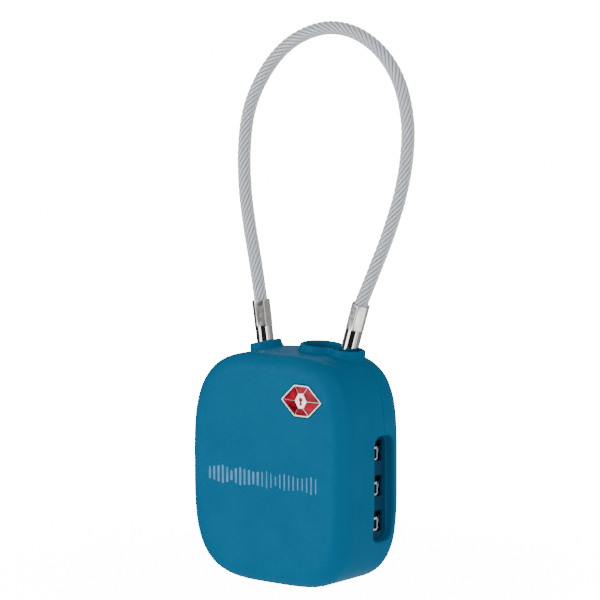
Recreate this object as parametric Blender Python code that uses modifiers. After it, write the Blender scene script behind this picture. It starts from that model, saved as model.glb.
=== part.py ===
"""Cable padlock for luggage: silicone sleeve, two-piece casing, three resettable number wheels,
an inspection-key cylinder, a sprung latch and a loop of coated steel cable.

Units are metres, +Z is up, the front face looks along -Y and the number wheels are on the +X side.
The origin is on the ground, under the middle of the sleeve.
"""
import bmesh
import bpy
import numpy as np
from math import copysign, cos, hypot, pi, radians, sin, tau
from mathutils import Matrix, Vector

MM = 0.001

# driving sizes
HALF_WIDTH = 19.2 * MM
HALF_HEIGHT = 22.35 * MM
HALF_DEPTH = 10.4 * MM
UPPER_LEFT_POWER = 3.2
LOWER_LEFT_POWER = 3.6
RIGHT_POWER = 4.0
OUTLINE_POINTS = 40
FRONT_ROUNDING = 3.4 * MM
REAR_ROUNDING = 6.0 * MM
ROUNDING_STEPS = 3
GAP = 0.3 * MM
SLEEVE_WALL = 1.85 * MM
CASING_WALL = 1.1 * MM
SPLIT_Y = -2.2 * MM
MECHANISM_Y = 2.5 * MM

# the outline's first point is half a step off the axis, and no point reaches further than this share
# of the half size, so top, bottom and sides have true flats
FLAT_FACTOR = cos(pi / OUTLINE_POINTS) ** (2 / UPPER_LEFT_POWER)
CENTRE_Z = HALF_HEIGHT * FLAT_FACTOR

# number wheels
DIAL_X = 12.4 * MM
DIAL_RADIUS = 4.2 * MM
DIAL_HEIGHT = 4.4 * MM
DIAL_PITCH = 6.85 * MM
DIAL_MIDDLE_Z = 19.4 * MM
DIAL_BORE = 2.9 * MM
DIAL_NOTCH_REACH = 3.4 * MM
DIAL_NOTCHES = 10
NOTCH_WIDTH = 1.1 * MM
WINDOW_WIDTH = 3.7 * MM
WINDOW_HEIGHT = 4.1 * MM
WINDOW_CORNER = 0.4 * MM
SLOT_WIDTH = 6.1 * MM
SLOT_HEIGHT = 20.4 * MM
SLOT_MIDDLE_Z = 19.1 * MM
SLOT_CORNER = 2.0 * MM

# detent spring: a flat leaf in front of the wheels
LEAF_FRONT_Y = -2.7 * MM
LEAF_THICKNESS = 0.3 * MM

# spindle
SPINDLE_RADIUS = 1.1 * MM
FIN_REACH = 1.6 * MM
SPINDLE_BOTTOM = 7.6 * MM
SPINDLE_TOP = 36.4 * MM
RESET_HOLE_RADIUS = 0.8 * MM

# ferrules: where each axis crosses the rim, and its lean from the vertical
FIXED_FOOT = Vector((-9.85, 2.5, 45.2)) * MM
FIXED_LEAN = radians(-8)
FREE_FOOT = Vector((10.65, 2.5, 45.2)) * MM
FREE_LEAN = radians(17.5)
SHANK_RADIUS = 1.7 * MM
CRIMP_RADIUS = 1.9 * MM
FIXED_STEP = 3.0 * MM
FIXED_TOP = 8.2 * MM
FREE_STEP = 4.4 * MM
FREE_TOP = 9.5 * MM
FREE_HEAD_END = -9.9 * MM
NECK_TOP = -6.2 * MM
NECK_BOTTOM = -7.6 * MM
NECK_RADIUS = 1.1 * MM
LATCH_RATIO = 0.3
HEAD_WIDEST = NECK_BOTTOM - (SHANK_RADIUS - NECK_RADIUS) / LATCH_RATIO

# collars on top of the sleeve
COLLAR_WALL = 0.85 * MM
KEY_COLLAR_TOP = Vector((4.1, 2.5, 45.9)) * MM
KEY_COLLAR_RADIUS = 4.3 * MM
SOCKET_COLLAR_TOP = Vector((10.3, 2.5, 45.44)) * MM
SOCKET_COLLAR_RADIUS = 3.45 * MM
COLLAR_LEAN = radians(4.2)
WAIST_X = 7.75 * MM
WAIST_LENGTH = 2.6 * MM
WAIST_HALF_WIDTH = 2.7 * MM
RING_COLLAR_TOP = 0.1 * MM
RING_COLLAR_RADIUS = 3.15 * MM

# key cylinder
KEY_X = 3.6 * MM
BARREL_RADIUS = 2.5 * MM
BARREL_BORE = 1.9 * MM
PLUG_RADIUS = 1.6 * MM
BARREL_BOTTOM = 31.0 * MM
BARREL_TOP = 42.6 * MM
WAFER_LEVELS = (34.0 * MM, 36.0 * MM, 38.0 * MM)

# latch
LATCH_LEVEL = (NECK_TOP + NECK_BOTTOM) / 2
LATCH_THICKNESS = 0.8 * MM
LATCH_EDGE_Y = MECHANISM_Y - NECK_RADIUS - GAP
LATCH_FRONT_Y = -2.2 * MM

# hexagonal badge: half its width at the tips, half its height, and half the length of its top edge
BADGE_X = 9.0 * MM
BADGE_Z = 36.75 * MM
BADGE_HALF_WIDTH = 5.0 * MM
BADGE_HALF_HEIGHT = 3.1 * MM
BADGE_HALF_TOP = 1.7 * MM
BADGE_CORNER = 0.35 * MM
BADGE_RIM = 0.5 * MM
BADGE_DEPTH = 0.7 * MM

# screws that close the casing
SCREW_PLACES = ((-8.5, 11.0), (-8.5, 31.0), (3.5, 10.0), (3.5, 24.0))
SCREW_SHANK = 0.9 * MM
SCREW_HEAD = 1.7 * MM
SCREW_TIP_Y = -5.0 * MM

# cross pin through the fixed ferrule, this far below its foot
PIN_RADIUS = 0.6 * MM
PIN_DROP = 6.0 * MM

# cable
CABLE_RADIUS = 1.38 * MM
CABLE_SAMPLES = 40
CABLE_ROUTE = (
    (-12.15, 60.0), (-13.75, 68.0), (-14.75, 75.0), (-14.9, 82.5), (-13.8, 89.7), (-10.85, 96.0),
    (-6.0, 101.7), (-0.1, 105.3), (6.5, 106.8), (12.95, 105.7), (18.5, 102.3), (22.5, 97.0),
    (24.4, 90.2), (24.35, 83.5), (22.85, 76.0), (20.0, 68.2), (16.7, 61.0),
)

MATERIALS = {
    "silicone": ((0.010, 0.173, 0.305), 0.55, 0.0),
    "casing_plastic": ((0.006, 0.060, 0.100), 0.45, 0.0),
    "dial_plastic": ((0.010, 0.010, 0.012), 0.35, 0.0),
    "steel": ((0.45, 0.46, 0.48), 0.30, 1.0),
    "nickel": ((0.62, 0.62, 0.63), 0.15, 1.0),
    "brass": ((0.55, 0.40, 0.16), 0.30, 1.0),
    "red_enamel": ((0.45, 0.010, 0.020), 0.20, 0.0),
    "coated_cable": ((0.55, 0.60, 0.66), 0.25, 0.4),
}


def clear_scene():
    for item in list(bpy.data.objects):
        bpy.data.objects.remove(item)


def new_collection(name):
    collection = bpy.data.collections.new(name)
    bpy.context.scene.collection.children.link(collection)
    return collection


def new_material(name):
    color, roughness, metallic = MATERIALS[name]
    material = bpy.data.materials.new(name)
    material.use_nodes = True
    shader = material.node_tree.nodes["Principled BSDF"]
    shader.inputs["Base Color"].default_value = (*color, 1.0)
    shader.inputs["Roughness"].default_value = roughness
    shader.inputs["Metallic"].default_value = metallic
    return material


clear_scene()
PARTS = new_collection("luggage_cable_padlock")
CUTTERS = new_collection("cutters")


def add_object(name, data, material):
    """Put mesh or curve data in the parts collection, or with the cutters when it has no material."""
    item = bpy.data.objects.new(name, data)
    if material is None:
        CUTTERS.objects.link(item)
        item.hide_render = True
        item.display_type = "WIRE"
    else:
        PARTS.objects.link(item)
        data.materials.append(new_material(material))
    return item


def finish_mesh(name, shape, material, smooth_angle=radians(35)):
    """Turn a bmesh into an object, smooth on its round faces."""
    bmesh.ops.recalc_face_normals(shape, faces=shape.faces)
    mesh = bpy.data.meshes.new(name)
    shape.to_mesh(mesh)
    shape.free()
    mesh.shade_smooth()
    mesh.set_sharp_from_angle(angle=smooth_angle)
    return add_object(name, mesh, material)


def make_box(name, low, high, material=None, rounded=0.0, rounded_axis=0):
    """A box between two corners; its four edges along one axis can be rounded."""
    shape = bmesh.new()
    bmesh.ops.create_cube(shape, size=1)
    size = Vector(high) - Vector(low)
    middle = (Vector(high) + Vector(low)) / 2
    bmesh.ops.scale(shape, vec=size, verts=shape.verts)
    if rounded:
        edges = [edge for edge in shape.edges
                 if abs((edge.verts[0].co - edge.verts[1].co)[rounded_axis]) > 0.5 * size[rounded_axis]]
        bmesh.ops.bevel(shape, geom=edges, offset=rounded, segments=5, profile=0.5, affect="EDGES")
    bmesh.ops.translate(shape, vec=middle, verts=shape.verts)
    return finish_mesh(name, shape, material)


def make_rod(name, start, end, radius, material=None, sides=32):
    """A cylinder from one point to another."""
    shape = bmesh.new()
    along = Vector(end) - Vector(start)
    turn = along.to_track_quat("Z", "Y").to_matrix().to_4x4()
    place = Matrix.Translation((Vector(start) + Vector(end)) / 2) @ turn
    bmesh.ops.create_cone(shape, cap_ends=True, segments=sides, radius1=radius, radius2=radius,
                          depth=along.length, matrix=place)
    return finish_mesh(name, shape, material)


def make_turned(name, profile, foot, lean, material, steps=24):
    """A turned piece: (radius, height) pairs from top to bottom, spun about a leaning axis."""
    mesh = bpy.data.meshes.new(name)
    points = [(radius, 0.0, height) for radius, height in profile]
    mesh.from_pydata(points, [(i, i + 1) for i in range(len(points) - 1)], [])
    item = add_object(name, mesh, material)
    item.location = foot
    item.rotation_euler = (0.0, lean, 0.0)
    screw = item.modifiers.new("turn", "SCREW")
    screw.axis = "Z"
    screw.steps = steps
    screw.render_steps = steps
    screw.use_merge_vertices = True
    screw.merge_threshold = 0.01 * MM
    screw.use_smooth_shade = True
    return item


def make_coil(name, start, end, coil_radius, wire_radius, turns, material):
    """A compression spring between two points."""
    points_per_turn = 10
    along = Vector(end) - Vector(start)
    turn = along.to_track_quat("Z", "Y").to_matrix()
    count = int(turns * points_per_turn) + 1
    curve = bpy.data.curves.new(name, "CURVE")
    curve.dimensions = "3D"
    spline = curve.splines.new("POLY")
    spline.points.add(count - 1)
    for index in range(count):
        share = index / (count - 1)
        angle = tau * turns * share
        local = Vector((coil_radius * cos(angle), coil_radius * sin(angle), along.length * share))
        spline.points[index].co = (*(Vector(start) + turn @ local), 1.0)
    curve.bevel_depth = wire_radius
    curve.bevel_resolution = 0
    curve.use_fill_caps = True
    return add_object(name, curve, material)


def combine(item, tools, operation):
    for tool in tools:
        step = item.modifiers.new(operation.lower(), "BOOLEAN")
        step.operation = operation
        step.solver = "EXACT"
        step.object = tool
    return item


def cut(item, *tools):
    return combine(item, tools, "DIFFERENCE")


def join(item, *tools):
    return combine(item, tools, "UNION")


def corner_power(angle):
    """How square the outline is: the right corners are the squarest, the upper left one the roundest."""
    if cos(angle) > 0:
        return RIGHT_POWER
    return UPPER_LEFT_POWER if sin(angle) > 0 else LOWER_LEFT_POWER


def outline_share(value, power):
    return copysign(min(abs(value) ** (2 / power), FLAT_FACTOR), value)


def outline_ring(shape, inset, y):
    """One ring of the padlock's rounded outline, drawn in from full size by the inset."""
    ring = []
    for index in range(OUTLINE_POINTS):
        angle = tau * (index + 0.5) / OUTLINE_POINTS
        across = outline_share(cos(angle), corner_power(angle))
        up = outline_share(sin(angle), corner_power(angle))
        x = (HALF_WIDTH - inset) * across
        z = CENTRE_Z + (HALF_HEIGHT - inset) * up
        ring.append(shape.verts.new((x, y, z)))
    return ring


def make_body(name, inset, material=None):
    """The padlock's outer form, smaller all round by the inset: a loft with rounded front and rear."""
    shape = bmesh.new()
    front = max(FRONT_ROUNDING - inset, 0.2 * MM)
    rear = max(REAR_ROUNDING - inset, 0.2 * MM)
    rings = []
    for step in range(ROUNDING_STEPS + 1):
        angle = pi / 2 * step / ROUNDING_STEPS
        y = -HALF_DEPTH + inset + front * (1 - cos(angle))
        rings.append(outline_ring(shape, inset + front * (1 - sin(angle)), y))
    for step in reversed(range(ROUNDING_STEPS + 1)):
        angle = pi / 2 * step / ROUNDING_STEPS
        y = HALF_DEPTH - inset - rear * (1 - cos(angle))
        rings.append(outline_ring(shape, inset + rear * (1 - sin(angle)), y))
    for first, second in zip(rings, rings[1:]):
        for index in range(OUTLINE_POINTS):
            following = (index + 1) % OUTLINE_POINTS
            shape.faces.new((first[index], first[following], second[following], second[index]))
    shape.faces.new(rings[0])
    shape.faces.new(rings[-1])
    return finish_mesh(name, shape, material)


def along_axis(foot, lean, distance):
    return foot + Vector((sin(lean), 0.0, cos(lean))) * distance


def fixed_point(distance):
    return along_axis(FIXED_FOOT, FIXED_LEAN, distance)


def free_point(distance):
    return along_axis(FREE_FOOT, FREE_LEAN, distance)


def dial_axis(z):
    """A point on the axis of the number wheels and their spindle."""
    return Vector((DIAL_X, MECHANISM_Y, z))


def key_axis(z):
    """A point on the axis of the key cylinder."""
    return Vector((KEY_X, MECHANISM_Y, z))


def dial_levels():
    return [DIAL_MIDDLE_Z + (index - 1) * DIAL_PITCH for index in range(3)]


def make_collar(name, top, lean, radius, depth):
    return make_rod(name, along_axis(top, lean, -depth), top, radius)


def make_waist(name, length, half_width, depth, above):
    """A block between the key collar and the socket collar, leaning with them."""
    item = make_box(name, (-length / 2, -half_width, -depth), (length / 2, half_width, above))
    from_key = WAIST_X - KEY_COLLAR_TOP.x
    slope = (SOCKET_COLLAR_TOP.z - KEY_COLLAR_TOP.z) / (SOCKET_COLLAR_TOP.x - KEY_COLLAR_TOP.x)
    item.location = KEY_COLLAR_TOP + Vector((from_key, 0.0, from_key * slope))
    item.rotation_euler = (0.0, COLLAR_LEAN, 0.0)
    return item


def make_sleeve():
    """The soft sleeve. Its key collar and socket collar share one wall and one opening."""
    sleeve = make_body("silicone_sleeve", 0.0, "silicone")
    ring_top = fixed_point(RING_COLLAR_TOP)
    depth = 6 * MM
    through = 12 * MM
    join(sleeve,
         make_waist("collar_waist", WAIST_LENGTH, WAIST_HALF_WIDTH, depth, 0.0),
         make_collar("key_collar", KEY_COLLAR_TOP, COLLAR_LEAN, KEY_COLLAR_RADIUS, depth),
         make_collar("socket_collar", SOCKET_COLLAR_TOP, COLLAR_LEAN, SOCKET_COLLAR_RADIUS, depth),
         make_collar("ring_collar", ring_top, FIXED_LEAN, RING_COLLAR_RADIUS, depth))
    above = 2 * MM
    key_mouth = make_collar("key_mouth", along_axis(KEY_COLLAR_TOP, COLLAR_LEAN, above), COLLAR_LEAN,
                            KEY_COLLAR_RADIUS - COLLAR_WALL, through)
    socket_mouth = make_collar("socket_mouth", along_axis(SOCKET_COLLAR_TOP, COLLAR_LEAN, above),
                               COLLAR_LEAN, SOCKET_COLLAR_RADIUS - COLLAR_WALL, through)
    ring_mouth = make_collar("ring_mouth", fixed_point(above), FIXED_LEAN, SHANK_RADIUS + GAP, through)
    slot = make_slot_form("side_slot", 0.0, HALF_WIDTH + 2 * MM)
    reset_hole = make_rod("sleeve_reset_hole", dial_axis(-2 * MM), dial_axis(6 * MM), RESET_HOLE_RADIUS,
                          sides=16)
    waist_mouth = make_waist("waist_mouth", WAIST_LENGTH, WAIST_HALF_WIDTH - COLLAR_WALL, depth, above)
    badge_seat = make_badge_plate("badge_seat", GAP, -HALF_DEPTH - MM, -HALF_DEPTH + BADGE_DEPTH + GAP)
    cut(sleeve, make_body("sleeve_hollow", SLEEVE_WALL), key_mouth, socket_mouth, waist_mouth, ring_mouth,
        slot, reset_hole, badge_seat)


def make_slot_form(name, inset, outer_x):
    """The side slot's rounded form, smaller all round by the inset, out to a given x."""
    half_width = SLOT_WIDTH / 2 - inset
    half_height = SLOT_HEIGHT / 2 - inset
    inner_x = HALF_WIDTH - SLEEVE_WALL - GAP - 2 * CASING_WALL
    return make_box(name, (inner_x, MECHANISM_Y - half_width, SLOT_MIDDLE_Z - half_height),
                    (outer_x, MECHANISM_Y + half_width, SLOT_MIDDLE_Z + half_height),
                    rounded=SLOT_CORNER - inset)


def badge_corners(growth):
    """The corners of the hexagonal badge about its middle, with every side moved out by the growth."""
    side_run = BADGE_HALF_WIDTH - BADGE_HALF_TOP
    side_length = hypot(side_run, BADGE_HALF_HEIGHT)
    top = BADGE_HALF_HEIGHT + growth
    tip = BADGE_HALF_WIDTH + growth * side_length / BADGE_HALF_HEIGHT
    corner = tip - top * side_run / BADGE_HALF_HEIGHT
    return (tip, 0.0), (corner, top), (-corner, top), (-tip, 0.0), (-corner, -top), (corner, -top)


def make_badge_plate(name, growth, front_y, rear_y, material=None):
    """A hexagonal plate in the badge's place, larger all round by the growth, with rounded corners."""
    shape = bmesh.new()
    corners = [shape.verts.new((BADGE_X + x, front_y, BADGE_Z + z)) for x, z in badge_corners(growth)]
    face = shape.faces.new(corners)
    raised = bmesh.ops.extrude_face_region(shape, geom=[face])
    moved = [part for part in raised["geom"] if isinstance(part, bmesh.types.BMVert)]
    bmesh.ops.translate(shape, vec=(0.0, rear_y - front_y, 0.0), verts=moved)
    edges = [edge for edge in shape.edges if abs(edge.verts[0].co.y - edge.verts[1].co.y) > GAP]
    bmesh.ops.bevel(shape, geom=edges, offset=BADGE_CORNER, segments=3, profile=0.5, affect="EDGES")
    return finish_mesh(name, shape, material)


def make_badge():
    front_y = -HALF_DEPTH
    rear_y = -HALF_DEPTH + BADGE_DEPTH
    bezel = make_badge_plate("badge_bezel", 0.0, front_y, rear_y, "nickel")
    cut(bezel, make_badge_plate("badge_opening", -BADGE_RIM, front_y - MM, rear_y + MM))
    make_badge_plate("badge_enamel", -BADGE_RIM - GAP, front_y + 0.2 * MM, rear_y, "red_enamel")


def casing_shell(name, y_low, y_high):
    """One half of the casing: the hollow body kept only between two planes."""
    casing = make_body(name, SLEEVE_WALL + GAP, "casing_plastic")
    reach = 30 * MM
    extent = make_box(name + "_extent", (-reach, y_low, -MM), (reach, y_high, 2 * reach))
    combine(casing, [extent], "INTERSECT")
    return cut(casing, make_body(name + "_hollow", SLEEVE_WALL + GAP + CASING_WALL))


def screw_point(place, y):
    return Vector((place[0] * MM, y, place[1] * MM))


def make_casings():
    """The two halves of the hard casing, with screw bosses, bores for the top parts and dial pockets."""
    outer_y = HALF_DEPTH - SLEEVE_WALL - GAP
    inner_y = outer_y - CASING_WALL
    wall_bite = 0.4 * MM
    head_seat_y = outer_y - 1.3 * MM
    front_boss_radius, rear_boss_radius = 2.0 * MM, 2.7 * MM
    front = casing_shell("front_casing", -HALF_DEPTH, SPLIT_Y - GAP / 2)
    rear = casing_shell("rear_casing", SPLIT_Y + GAP / 2, HALF_DEPTH)
    for number, place in enumerate(SCREW_PLACES, 1):
        join(front, make_rod(f"front_boss_{number}", screw_point(place, -inner_y - wall_bite),
                             screw_point(place, SPLIT_Y - GAP / 2), front_boss_radius, sides=20))
        join(rear, make_rod(f"rear_boss_{number}", screw_point(place, SPLIT_Y + GAP / 2),
                            screw_point(place, inner_y + wall_bite), rear_boss_radius, sides=20))
        hole = make_rod(f"screw_hole_{number}", screw_point(place, SCREW_TIP_Y - 0.5 * MM),
                        screw_point(place, outer_y + MM), SCREW_SHANK + GAP, sides=16)
        seat = make_rod(f"screw_seat_{number}", screw_point(place, head_seat_y),
                        screw_point(place, outer_y + MM), SCREW_HEAD + GAP, sides=20)
        cut(front, hole)
        cut(rear, hole, seat)
        make_casing_screw(f"casing_screw_{number}", place, head_seat_y + GAP, outer_y - 0.1 * MM)
    anchor_block = make_box("anchor_block", (-13.0 * MM, -1.5 * MM, 36.8 * MM),
                            (-6.2 * MM, inner_y + wall_bite, 41.0 * MM))
    combine(anchor_block, [make_body("anchor_block_limit", SLEEVE_WALL + GAP + wall_bite)], "INTERSECT")
    join(rear, anchor_block)
    pin_hole_radius = PIN_RADIUS + GAP
    cut(rear,
        make_rod("fixed_bore", fixed_point(-9 * MM), fixed_point(4 * MM), SHANK_RADIUS + GAP),
        make_rod("pin_bore", anchor_point(-3.4 * MM), anchor_point(6.5 * MM), pin_hole_radius, sides=16),
        make_rod("free_bore", free_point(-6 * MM), free_point(4 * MM), SHANK_RADIUS + GAP),
        make_rod("key_bore", key_axis(BARREL_BOTTOM - MM), key_axis(BARREL_TOP + 3 * MM),
                 BARREL_RADIUS + GAP),
        make_rod("reset_bore", dial_axis(0.0), dial_axis(6 * MM), RESET_HOLE_RADIUS + GAP, sides=16))
    join(rear, make_slot_form("window_pad", GAP, HALF_WIDTH - SLEEVE_WALL - GAP))
    half_pocket = DIAL_HEIGHT / 2 + GAP
    half_window = Vector((0.0, WINDOW_WIDTH / 2, WINDOW_HEIGHT / 2))
    outward = Vector((HALF_WIDTH - DIAL_X, 0.0, 0.0))
    for number, level in enumerate(dial_levels(), 1):
        pocket = make_rod(f"dial_pocket_{number}", dial_axis(level - half_pocket),
                          dial_axis(level + half_pocket), DIAL_RADIUS + GAP, sides=40)
        window = make_box(f"dial_window_{number}", dial_axis(level) - half_window,
                          dial_axis(level) + half_window + outward, rounded=WINDOW_CORNER)
        cut(rear, pocket, window)


def make_casing_screw(name, place, seat_y, top_y):
    """A screw from the rear, with a cross recess in its head."""
    screw = make_rod(name, screw_point(place, SCREW_TIP_Y), screw_point(place, seat_y + 0.2 * MM),
                     SCREW_SHANK, "steel", sides=16)
    head = make_rod(name + "_head", screw_point(place, seat_y), screw_point(place, top_y),
                    SCREW_HEAD, sides=20)
    recess_depth = 0.5 * MM
    join(screw, head)
    for arm, half in enumerate(((0.9 * MM, 0.2 * MM), (0.2 * MM, 0.9 * MM))):
        centre = screw_point(place, top_y)
        reach = Vector((half[0], recess_depth, half[1]))
        cut(screw, make_box(f"{name}_recess_{arm}", centre - reach, centre + reach))


def anchor_point(y):
    """A point on the axis of the cross pin that holds the fixed ferrule."""
    place = fixed_point(-PIN_DROP)
    return Vector((place.x, y, place.z))


def make_ferrule_crimp(name, foot, lean, step, top):
    """The hexagonal crimped part, over the end of the cable."""
    return make_rod(name, along_axis(foot, lean, step), along_axis(foot, lean, top), CRIMP_RADIUS, sides=6)


def make_fixed_ferrule():
    bottom = -8.0 * MM
    chamfer = 0.3 * MM
    profile = ((0.0, FIXED_STEP + 0.4 * MM), (SHANK_RADIUS, FIXED_STEP + 0.4 * MM),
               (SHANK_RADIUS, bottom + chamfer), (SHANK_RADIUS - chamfer, bottom), (0.0, bottom))
    ferrule = make_turned("fixed_ferrule", profile, FIXED_FOOT, FIXED_LEAN, "nickel")
    join(ferrule, make_ferrule_crimp("fixed_crimp", FIXED_FOOT, FIXED_LEAN, FIXED_STEP, FIXED_TOP))
    cut(ferrule, make_rod("ferrule_pin_hole", anchor_point(-MM), anchor_point(6 * MM), PIN_RADIUS + GAP,
                          sides=16))
    make_rod("anchor_pin", anchor_point(-1.4 * MM), anchor_point(6.2 * MM), PIN_RADIUS, "steel", sides=16)


def make_free_ferrule():
    tip_radius = 0.9 * MM
    profile = ((0.0, FREE_STEP + 0.4 * MM), (SHANK_RADIUS, FREE_STEP + 0.4 * MM), (SHANK_RADIUS, NECK_TOP),
               (NECK_RADIUS, NECK_TOP), (NECK_RADIUS, NECK_BOTTOM), (SHANK_RADIUS, HEAD_WIDEST),
               (tip_radius, FREE_HEAD_END), (0.0, FREE_HEAD_END))
    ferrule = make_turned("free_ferrule", profile, FREE_FOOT, FREE_LEAN, "nickel")
    join(ferrule, make_ferrule_crimp("free_crimp", FREE_FOOT, FREE_LEAN, FREE_STEP, FREE_TOP))


def smooth_route():
    """Points along a smooth curve (Catmull-Rom) from one ferrule's end to the other's."""
    first = fixed_point(FIXED_TOP + GAP)
    last = free_point(FREE_TOP + GAP)
    route = [first]
    route += [Vector((x * MM, MECHANISM_Y, z * MM)) for x, z in CABLE_ROUTE]
    route.append(last)
    padded = [2 * route[0] - route[1]] + route + [2 * route[-1] - route[-2]]
    points = []
    for share in np.linspace(0, len(route) - 1, CABLE_SAMPLES):
        segment = min(int(share), len(route) - 2)
        t = share - segment
        a, b, c, d = padded[segment:segment + 4]
        points.append(0.5 * (2 * b + (c - a) * t + (2 * a - 5 * b + 4 * c - d) * t ** 2
                             + (3 * b - a - 3 * c + d) * t ** 3))
    return points


def make_cable():
    curve = bpy.data.curves.new("cable", "CURVE")
    curve.dimensions = "3D"
    points = smooth_route()
    spline = curve.splines.new("POLY")
    spline.points.add(len(points) - 1)
    for slot, point in zip(spline.points, points):
        slot.co = (*point, 1.0)
    curve.bevel_depth = CABLE_RADIUS
    curve.bevel_resolution = 2
    curve.use_fill_caps = True
    add_object("cable", curve, "coated_cable")


def make_dial(number, level):
    """A number wheel: ten finger flats outside, ten notches inside, and a free space above the notches."""
    item = make_rod(f"dial_{number}", (0, 0, -DIAL_HEIGHT / 2), (0, 0, DIAL_HEIGHT / 2), DIAL_RADIUS,
                    "dial_plastic", sides=40)
    item.location = dial_axis(level)
    axis = dial_axis(level)
    below = axis - Vector((0, 0, DIAL_HEIGHT))
    above = axis + Vector((0, 0, DIAL_HEIGHT))
    cut(item, make_rod(f"dial_bore_{number}", below, above, DIAL_BORE, sides=40))
    notch_top = axis - Vector((0, 0, 1.0 * MM))
    cut(item, make_rod(f"dial_space_{number}", notch_top, above, DIAL_NOTCH_REACH, sides=40))
    for notch in range(DIAL_NOTCHES // 2):
        low = (-DIAL_NOTCH_REACH, -NOTCH_WIDTH / 2, -DIAL_HEIGHT)
        high = (DIAL_NOTCH_REACH, NOTCH_WIDTH / 2, 0.0)
        bar = make_box(f"dial_{number}_notch_{notch}", low, high)
        bar.location = axis - Vector((0, 0, 0.5 * MM))
        bar.rotation_euler = (0, 0, tau * notch / DIAL_NOTCHES)
        cut(item, bar)


def make_clutch(number, level):
    """The ring that keys a number wheel to its place in the code: two lugs outside, a gate inside."""
    item = make_rod(f"clutch_{number}", (0, 0, -DIAL_HEIGHT / 2), (0, 0, 0.9 * MM), DIAL_BORE - GAP,
                    "brass", sides=32)
    item.location = dial_axis(level)
    axis = dial_axis(level)
    lug_half = NOTCH_WIDTH / 2 - GAP
    lug_low = axis + Vector((-DIAL_NOTCH_REACH + GAP, -lug_half, -DIAL_HEIGHT / 2))
    lug_high = axis + Vector((DIAL_NOTCH_REACH - GAP, lug_half, -DIAL_HEIGHT / 2 + 0.9 * MM))
    join(item, make_box(f"clutch_lugs_{number}", lug_low, lug_high))
    bore = make_rod(f"clutch_bore_{number}", axis - Vector((0, 0, DIAL_HEIGHT)),
                    axis + Vector((0, 0, DIAL_HEIGHT)), SPINDLE_RADIUS + GAP, sides=24)
    gate = make_box(f"clutch_gate_{number}", axis + Vector((0, -0.6 * MM, -DIAL_HEIGHT)),
                    axis + Vector((FIN_REACH + GAP, 0.6 * MM, DIAL_HEIGHT)))
    cut(item, bore, gate)


def make_spindle():
    """The shaft through the number wheels, with a fin above each clutch and a collar for its spring."""
    spindle = make_rod("spindle", (0, 0, SPINDLE_BOTTOM), (0, 0, SPINDLE_TOP), SPINDLE_RADIUS,
                       "steel", sides=24)
    spindle.location = dial_axis(0)
    fin_thickness = 2 * GAP
    fin_low, fin_high = 1.2 * MM, 1.9 * MM
    for number, level in enumerate(dial_levels(), 1):
        low = dial_axis(level + fin_low) - Vector((0.0, fin_thickness / 2, 0.0))
        high = dial_axis(level + fin_high) + Vector((FIN_REACH, fin_thickness / 2, 0.0))
        join(spindle, make_box(f"spindle_fin_{number}", low, high))
    collar_low, collar_high, collar_radius = 31.0 * MM, 31.6 * MM, 1.9 * MM
    join(spindle, make_rod("spindle_collar", dial_axis(collar_low), dial_axis(collar_high), collar_radius,
                           sides=24))
    spring_low, spring_high = 32.1 * MM, 34.4 * MM
    make_coil("spindle_spring", dial_axis(spring_low), dial_axis(spring_high),
              coil_radius=1.65 * MM, wire_radius=0.15 * MM, turns=3, material="steel")


def make_carrier():
    """The bracket that holds the number wheels on their spindle: a back plate, four shelves and a seat."""
    left, right = DIAL_X - 2.6 * MM, DIAL_X + 1.5 * MM
    plate_front, plate_rear, shelf_rear = -4.2 * MM, -3.0 * MM, 5.2 * MM
    bottom, top = 9.1 * MM, 35.9 * MM
    seat_thickness = 1.0 * MM
    carrier = make_box("dial_carrier", (left, plate_front, bottom), (right, plate_rear, top), "steel")
    half_shelf = (DIAL_PITCH - DIAL_HEIGHT) / 2 - GAP
    levels = [DIAL_MIDDLE_Z + (index - 1.5) * DIAL_PITCH for index in range(4)]
    shelves = [(max(level - half_shelf, bottom), level + half_shelf) for level in levels]
    shelves.append((top - seat_thickness, top))
    for number, (low, high) in enumerate(shelves):
        join(carrier, make_box(f"carrier_shelf_{number}", (left, plate_front, low),
                               (right, shelf_rear, high)))
    bore_top = 33 * MM
    through = make_rod("carrier_bore", dial_axis(bottom - MM), dial_axis(bore_top), FIN_REACH + GAP,
                       sides=24)
    seat_bore = make_rod("carrier_seat_bore", dial_axis(bore_top), dial_axis(top + MM),
                         SPINDLE_RADIUS + GAP, sides=24)
    leaf_low, leaf_high = leaf_corners()
    room = Vector((GAP, GAP, GAP))
    cut(carrier, through, seat_bore, make_box("leaf_groove", leaf_low - room, leaf_high + room))


def leaf_corners():
    """The two corners of the detent spring's flat leaf."""
    return (Vector((DIAL_X - 1.3 * MM, LEAF_FRONT_Y, 9.5 * MM)),
            Vector((DIAL_X + 0.7 * MM, LEAF_FRONT_Y + LEAF_THICKNESS, 29.6 * MM)))


def make_detent_spring():
    """The leaf spring in front of the wheels, with one ridge for each wheel's clicks."""
    leaf = make_box("detent_spring", *leaf_corners(), "steel")
    ridge_half_width, ridge_half_height = 0.3 * MM, 1.2 * MM
    ridge_front = LEAF_FRONT_Y + LEAF_THICKNESS - 0.1 * MM
    ridge_rear = MECHANISM_Y - DIAL_RADIUS - 0.45 * MM
    for number, level in enumerate(dial_levels(), 1):
        low = (DIAL_X - ridge_half_width, ridge_front, level - ridge_half_height)
        high = (DIAL_X + ridge_half_width, ridge_rear, level + ridge_half_height)
        join(leaf, make_box(f"detent_ridge_{number}", low, high))


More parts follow.
